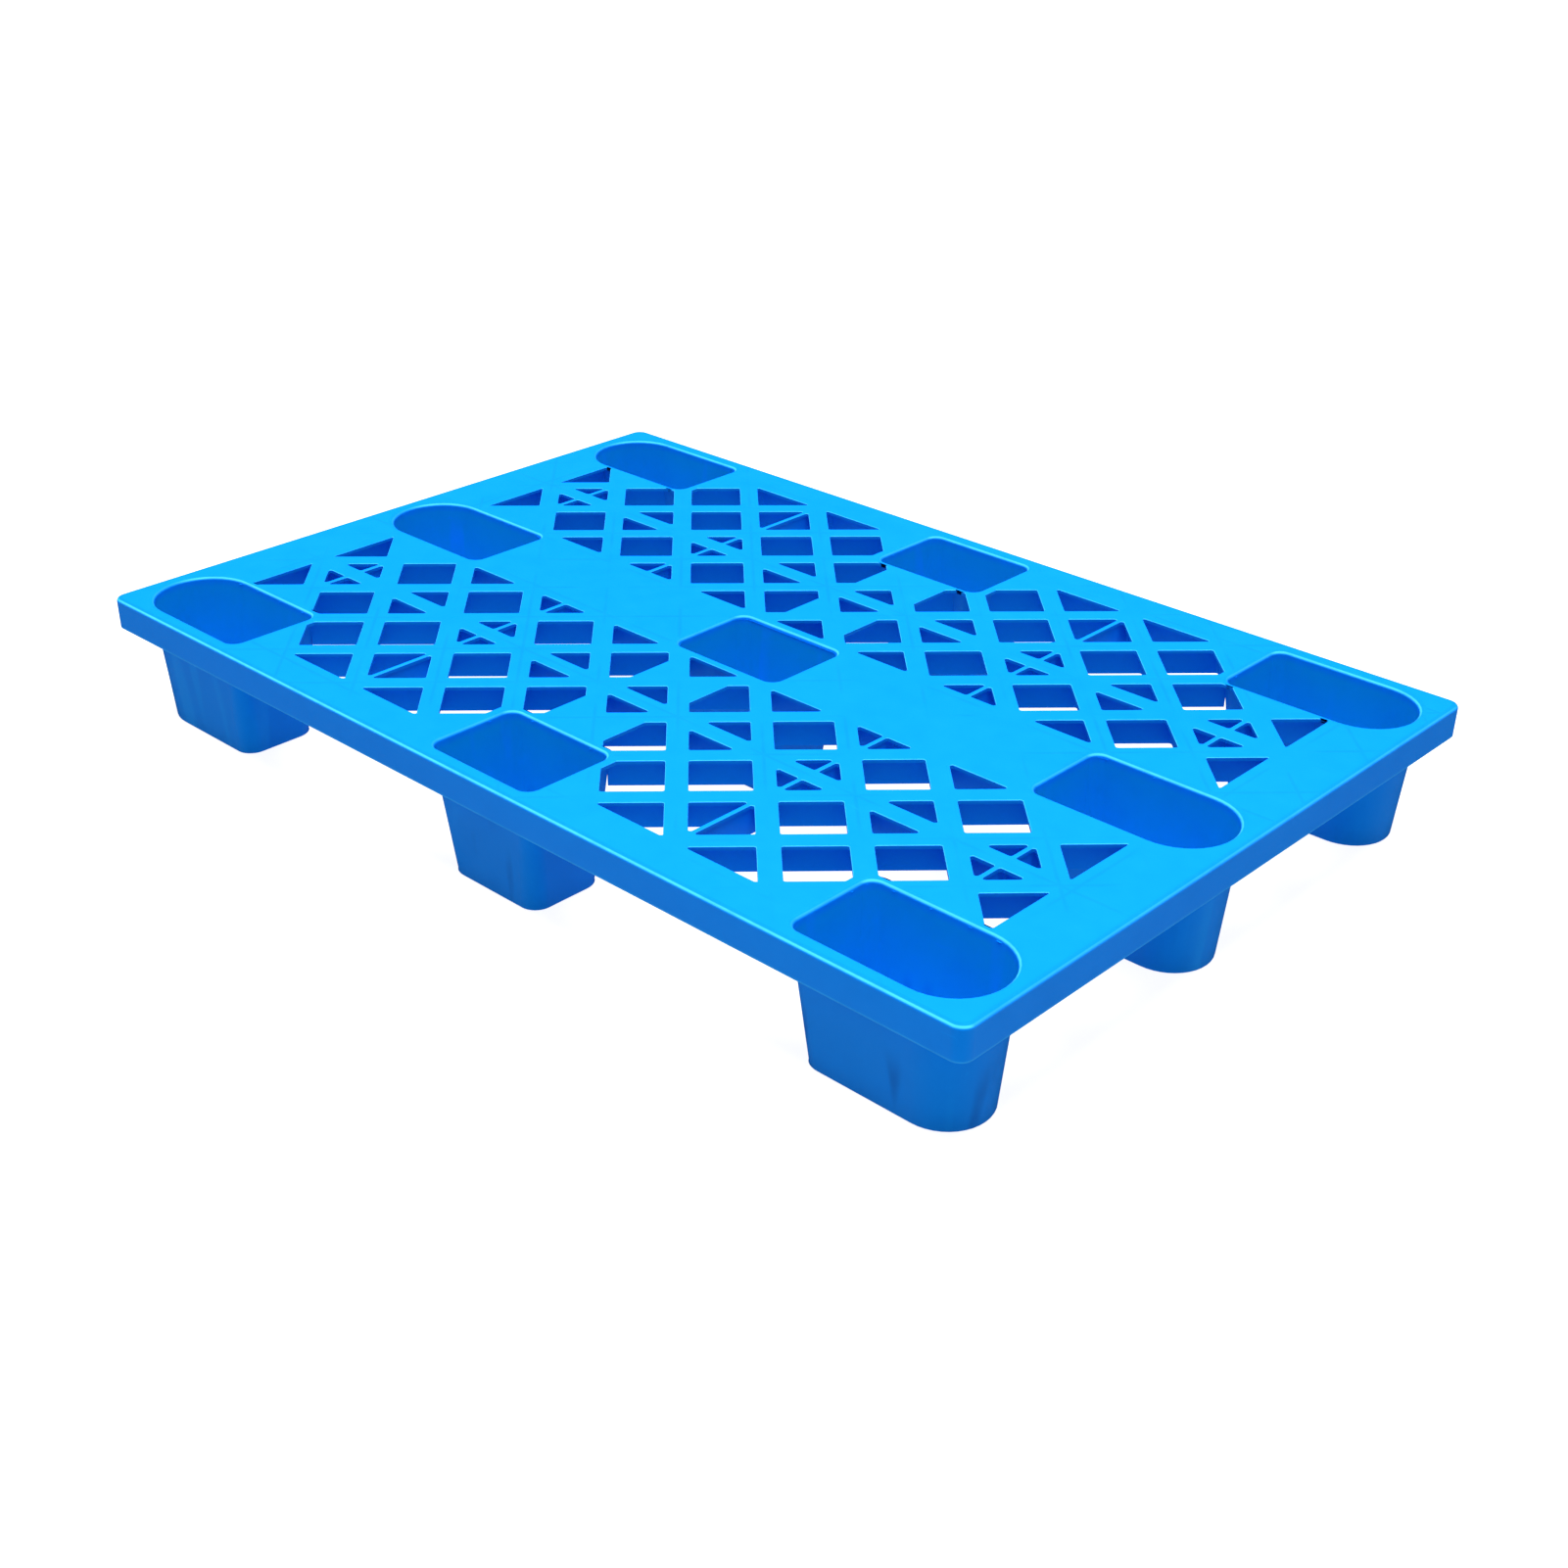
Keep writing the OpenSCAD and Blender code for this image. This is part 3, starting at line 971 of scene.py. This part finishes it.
def without_repeats(outline):
    """Leaves out points that coincide with the one before."""
    near = 1e-6
    kept = []
    for p, n in outline:
        if not kept or (p - kept[-1][0]).length > near:
            kept.append((p, n))
    if (kept[0][0] - kept[-1][0]).length < near:
        kept.pop()
    return kept


def gaps_beside_rim(sizes):
    """The narrow gaps between the outer cups and the rim, which have no ribs."""
    boxes = []
    for cup in all_cups(sizes):
        hx, hy = cup.half_x + sizes.cup_wall, cup.half_y + sizes.cup_wall
        x, y = cup.centre
        if cup.column and not cup.row:
            boxes.append(sorted_box(x, y - hy, cup.column * HALF_L, y + hy))
        if cup.row:
            near_x = x - hx if cup.column >= 0 else x + hx
            far_x = cup.column * HALF_L if cup.column else x + hx
            boxes.append(sorted_box(near_x, y, far_x, cup.row * HALF_W))
    return boxes


def sorted_box(x0, y0, x1, y1):
    """The rectangle between two opposite corners."""
    return rectangle(min(x0, x1), min(y0, y1), max(x0, x1), max(y0, y1))


def region_loops(verts, triangles):
    """Edge loops of a set of triangles, as anticlockwise polygons with 1 for an outer edge and
    -1 for a hole. Straight runs come back as one edge, and slivers are left out."""
    least_area = 30 * MM * MM
    count = {}
    for t in triangles:
        for i, a in enumerate(t):
            b = t[(i + 1) % len(t)]
            count[(a, b)] = count.get((a, b), 0) + 1
    follow = {}
    for a, b in count:
        if (b, a) not in count:
            follow.setdefault(a, []).append(b)
    loops = []
    while follow:
        start = next(iter(follow))
        loop, here = [start], start
        while True:
            options = follow[here]
            there = options.pop()
            if not options:
                del follow[here]
            if there == start:
                break
            loop.append(there)
            here = there
        polygon = without_straights([verts[i] for i in loop])
        area = area_of(polygon)
        if abs(area) > least_area:
            loops.append((polygon if area > 0 else polygon[::-1], 1 if area > 0 else -1))
    loops.sort(key=lambda item: -item[1] * abs(area_of(item[0])))
    return loops


def without_straights(polygon):
    """Leaves out the corners of a polygon where it runs straight on."""
    least_turn, near = 1e-3, 1e-7
    kept = []
    n = len(polygon)
    for i in range(n):
        a, b, c = polygon[i - 1], polygon[i], polygon[(i + 1) % n]
        u, v = (b - a), (c - b)
        if u.length < near:
            continue
        if abs(u.x * v.y - u.y * v.x) > least_turn * u.length * v.length:
            kept.append(b)
    return kept


class PALLET_OT_legs(bpy.types.Operator):
    """Makes the nine leg cups"""

    bl_idname = "pallet.legs"
    bl_label = "Legs"

    def execute(self, context):
        sizes = context.scene.pallet_sizes
        for cup in all_cups(sizes):
            self.leg(cup, sizes)
        return {"FINISHED"}

    def leg(self, cup, sizes):
        """One cup: its inside, which takes the plastic recoloured as painted light and shade, and
        its outside.
        """
        made = Moulding(f"leg_cup_{cup.name}")
        inner = self.skin(made, cup, self.inside(cup, sizes), -1)
        made.cap([inner[-1]], up=True)
        lined = len(made.faces)
        outer = self.skin(made, cup, self.outside(cup, sizes), 1, inner[0])
        made.cap([outer[-1]], up=False)
        nodes = [f"leg_{cup.name}"]
        made.finish(material("leg_plastic"), nodes, "legs", material("cup_plastic"), lined)

    def inside(self, cup, sizes):
        """Rows of the inside: growth of the outline, height, tilt above and below, and corner."""
        draft, edge, bend = sizes.cup_draft, sizes.mouth_edge, sizes.floor_bend
        edge_steps, wall_steps, bend_steps = 8, 4, 8
        least_corner, corner_share = 4 * MM, 0.6
        rows = [(sizes.cup_lip, TOP_Z, UP, UP, sizes.mouth_corner + sizes.cup_lip)]
        for k in range(edge_steps + 1):
            a = UP - (UP - draft) * k / edge_steps
            grow = edge * (1 - math.cos(a))
            z = TOP_Z - edge * (1 - math.sin(a))
            rows.append((grow - cup.inset(z), z, a, a, cup.corner(z) + grow))
        low = sizes.sole + bend
        for k in range(1, wall_steps + 1):
            z = TOP_Z - edge + (low - TOP_Z + edge) * k / wall_steps
            rows.append((-cup.inset(z), z, draft, draft, cup.corner(z)))
        for k in range(1, bend_steps + 1):
            a = draft + (UP - draft) * k / bend_steps
            sunk = bend * (1 - math.cos(a))
            z = low - bend * (math.sin(a) - math.sin(draft)) / (1 - math.sin(draft))
            corner = max(cup.corner(low) - sunk * corner_share, least_corner)
            rows.append((-cup.inset(low) - sunk, z, a, a, corner))
        return rows

    def outside(self, cup, sizes):
        """Rows of the outside, from the lip past the under side of the skin to the sole."""
        draft, wall, foot = sizes.cup_draft, sizes.cup_wall, sizes.foot_edge
        lip, lip_corner = sizes.cup_lip, sizes.mouth_corner + sizes.cup_lip
        bend_steps, wall_steps, foot_steps = 3, 8, 6
        rows = [(lip, TOP_Z, 0, 0, lip_corner), (lip, SKIN_Z, 0, DOWN, lip_corner)]
        bend = 1.5 * MM
        at = wall - cup.inset(SKIN_Z)
        for k in range(bend_steps + 1):
            a = UP * k / bend_steps
            z = SKIN_Z - bend * (1 - math.cos(a))
            tilt = DOWN + (UP - draft) * k / bend_steps
            rows.append((at + bend * (1 - math.sin(a)), z, tilt, tilt, cup.corner(z) + wall))
        for k in range(1, wall_steps + 1):
            z = SKIN_Z - bend + (foot - SKIN_Z + bend) * k / wall_steps
            rows.append((wall - cup.inset(z), z, -draft, -draft, cup.corner(z) + wall))
        sole_corner = cup.corner(0) + wall - foot / 2
        for k in range(1, foot_steps + 1):
            a = -draft + (DOWN + draft) * k / foot_steps
            grow = wall - cup.inset(foot) - foot * (1 - math.cos(a))
            rows.append((grow, foot * (1 + math.sin(a)), a, a, sole_corner))
        return rows

    def skin(self, made, cup, rows, side, first=None):
        """Sweeps rows round the cup and returns its rings."""
        outlines = [cup.outline(grow, corner) for grow, _, _, _, corner in rows]
        rings = [made.ring(o, 0, row[1]) for o, row in zip(outlines, rows)]
        if first:
            rings[0] = first
        for k in range(len(rows) - 1):
            upper = [tilted(n, rows[k][3], side) for _, n in outlines[k]]
            lower = [tilted(n, rows[k + 1][2], side) for _, n in outlines[k + 1]]
            made.band(rings[k], rings[k + 1], upper, lower)
        return rings


WHITE = (1, 1, 1, 1)


class PALLET_OT_stage(bpy.types.Operator):
    """Makes the floor, the lights and the camera"""

    bl_idname = "pallet.stage"
    bl_label = "Stage"

    def execute(self, context):
        scene = context.scene
        self.floor(scene)
        self.bounce(scene)
        self.lights(scene)
        self.camera(scene)
        scene.view_settings.view_transform = "Standard"
        scene.view_settings.look = "None"
        return {"FINISHED"}

    def sheet(self, scene, name, z):
        """A wide level sheet at the given height."""
        half = 40.0
        mesh = bpy.data.meshes.new(name)
        corners = [(x, y, z) for x, y in rectangle(-half, -half, half, half)]
        mesh.from_pydata(corners, [], [(0, 1, 2, 3)])
        made = bpy.data.objects.new(name, mesh)
        scene.collection.objects.link(made)
        return made

    def glowing(self, tree, base, roughness, shine, glow):
        """Closes a tree with a surface that gives off white light of its own."""
        surface = tree.node("ShaderNodeBsdfPrincipled", {}, {
            "Base Color": base,
            "Roughness": roughness,
            "Specular IOR Level": shine,
            "Emission Color": WHITE,
            "Emission Strength": glow,
        })[0]
        tree.node("ShaderNodeOutputMaterial", {}, {"Surface": surface})
        return tree.material

    def floor(self, scene):
        """The white floor that the camera sees, just below the soles. It takes shadows, and
        gives the pallet no light."""
        dark, light = (0.28, 0.28, 0.28, 1), (0.32, 0.32, 0.32, 1)
        floor = self.sheet(scene, "floor", -0.2 * MM)
        tree = Tree("floor_white")
        where = tree.node("ShaderNodeTexCoord")["Object"]
        tone = tree.mix(tree.noise(where, scale=3.0, detail=3.0), dark, light)
        white = self.glowing(tree, tone, roughness=0.8, shine=0.1, glow=0.92)
        floor.data.materials.append(white)
        floor.visible_diffuse = False
        floor.visible_glossy = False
        floor.visible_shadow = False

    def bounce(self, scene):
        """A lit card just under the floor, which gives the pallet its soft light from below."""
        card = self.sheet(scene, "bounce_card", -0.5 * MM)
        tree = Tree("card_grey")
        grey = self.glowing(tree, (0.2, 0.2, 0.2, 1), roughness=0.9, shine=0.0, glow=0.52)
        card.data.materials.append(grey)
        card.visible_camera = False
        card.visible_glossy = False

    def lights(self, scene):
        """A white surround, full white only to the camera, and one very wide sun overhead."""
        surround, backdrop = 0.3, 1.0
        sun_width, sun_strength, sun_height = math.radians(40), 2.0 * math.pi, 3
        world = bpy.data.worlds.new("studio")
        scene.world = world
        world.use_nodes = True
        back = world.node_tree.nodes["Background"]
        back.inputs["Color"].default_value = WHITE
        path = world.node_tree.nodes.new("ShaderNodeLightPath")
        strength = world.node_tree.nodes.new("ShaderNodeMapRange")
        strength.inputs["To Min"].default_value = surround
        strength.inputs["To Max"].default_value = backdrop
        world.node_tree.links.new(path.outputs["Is Camera Ray"], strength.inputs["Value"])
        world.node_tree.links.new(strength.outputs[0], back.inputs["Strength"])
        world.cycles_visibility.glossy = False
        light = bpy.data.lights.new("overhead", "SUN")
        light.angle = sun_width
        light.energy = sun_strength
        lamp = bpy.data.objects.new("overhead", light)
        scene.collection.objects.link(lamp)
        lamp.location = (0, 0, sun_height)

    def camera(self, scene):
        """The viewpoint of the photo."""
        place = (1.40524, -1.47953, 1.06682)
        azimuth, elevation, roll = math.radians(42.69), math.radians(28.1), math.radians(0.74)
        data = bpy.data.cameras.new("camera")
        data.sensor_fit = "HORIZONTAL"
        data.sensor_width = 36.0
        data.lens = 48.79
        data.clip_end = 200
        camera = bpy.data.objects.new("camera", data)
        scene.collection.objects.link(camera)
        turn = Matrix.Rotation(azimuth, 4, "Z") @ Matrix.Rotation(UP - elevation, 4, "X")
        turn = turn @ Matrix.Rotation(roll, 4, "Z")
        camera.matrix_world = Matrix.Translation(place) @ turn
        scene.camera = camera


class PALLET_PT_panel(bpy.types.Panel):
    """Lists the sizes, the finish and the pieces of the pallet"""

    bl_label = "Pallet"
    bl_idname = "PALLET_PT_panel"
    bl_space_type = "VIEW_3D"
    bl_region_type = "UI"
    bl_category = "Pallet"

    def draw(self, context):
        scene = context.scene
        for group in (scene.pallet_sizes, scene.pallet_finish):
            column = self.layout.column()
            for name in group.__annotations__:
                column.prop(group, name)
        for operator in OPERATORS:
            self.layout.operator(operator.bl_idname)


OPERATORS = (
    PALLET_OT_finishes,
    PALLET_OT_deck,
    PALLET_OT_rim,
    PALLET_OT_ribs,
    PALLET_OT_legs,
    PALLET_OT_stage,
)
CLASSES = (PalletSizes, PalletFinish, *OPERATORS, PALLET_PT_panel)


def register():
    for c in CLASSES:
        bpy.utils.register_class(c)
    bpy.types.Scene.pallet_sizes = PointerProperty(type=PalletSizes)
    bpy.types.Scene.pallet_finish = PointerProperty(type=PalletFinish)


def unregister():
    del bpy.types.Scene.pallet_finish
    del bpy.types.Scene.pallet_sizes
    for c in reversed(CLASSES):
        bpy.utils.unregister_class(c)


def main():
    """Builds the pallet and its stage."""
    register()
    bpy.ops.pallet.finishes()
    bpy.ops.pallet.deck()
    bpy.ops.pallet.rim()
    bpy.ops.pallet.ribs()
    bpy.ops.pallet.legs()
    bpy.ops.pallet.stage()
    bpy.context.view_layer.update()


if __name__ == "__main__":
    main()
